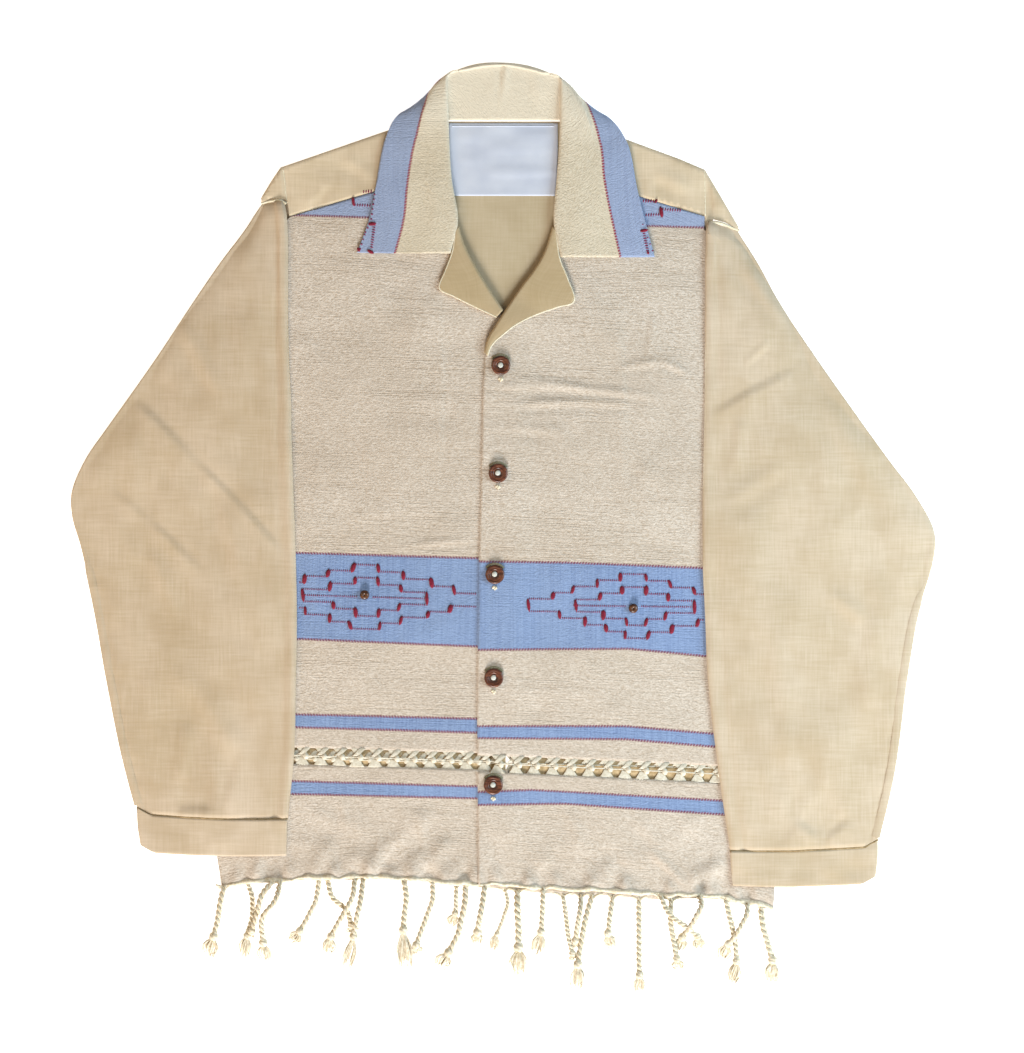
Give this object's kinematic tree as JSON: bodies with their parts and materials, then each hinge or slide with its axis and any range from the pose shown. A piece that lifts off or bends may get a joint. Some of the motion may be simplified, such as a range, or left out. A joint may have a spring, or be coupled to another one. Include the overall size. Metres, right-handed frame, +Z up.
{
  "type": "blanket shirt",
  "caption": "Long-sleeved button-front shirt of striped handwoven blanket cloth with openwork and a corded fringe, laid flat on its back with the collar open.",
  "frame": {"origin": "centre of the bounding box at the surface that the shirt lies on", "axes": "+Z up from the surface, out of the shirt's front; +Y from the hem to the collar; +X towards the wearer's left sleeve"},
  "size_m": [0.804, 0.86, 0.0152],
  "materials": {
    "blanket_cloth": "matte handwoven cotton, natural white with blue stripes",
    "fine_cotton": "matte plain-woven cotton, ecru",
    "facing_cotton": "matte plain-woven cotton, ecru, the wrong side of the front turned out",
    "collar_cloth": "matte handwoven cotton with one blue stripe",
    "sleeve_cotton": "matte plain-woven cotton, ecru, creased",
    "label_satin": "soft satin, white, bare",
    "button_wood": "turned and waxed, dark brown",
    "bead_wood": "turned, waxed, brown",
    "fringe_cord": "twisted and knotted cotton cord, natural white"
  },
  "bodies": {
    "root": {"back": "blanket_cloth", "yoke": "fine_cotton", "front_right": "blanket_cloth", "front_left": "blanket_cloth", "facing_right": "facing_cotton", "facing_left": "facing_cotton", "collar": "collar_cloth", "label": "label_satin", "sleeve_right": "sleeve_cotton", "sleeve_left": "sleeve_cotton", "cuff_right": "sleeve_cotton", "cuff_left": "sleeve_cotton", "button_1": "button_wood", "button_2": "button_wood", "button_3": "button_wood", "button_4": "button_wood", "button_5": "button_wood", "bead_right": "bead_wood", "bead_left": "bead_wood", "fringe_front_right": "fringe_cord", "fringe_front_left": "fringe_cord", "fringe_back": "fringe_cord"}
  },
  "joints": []
}
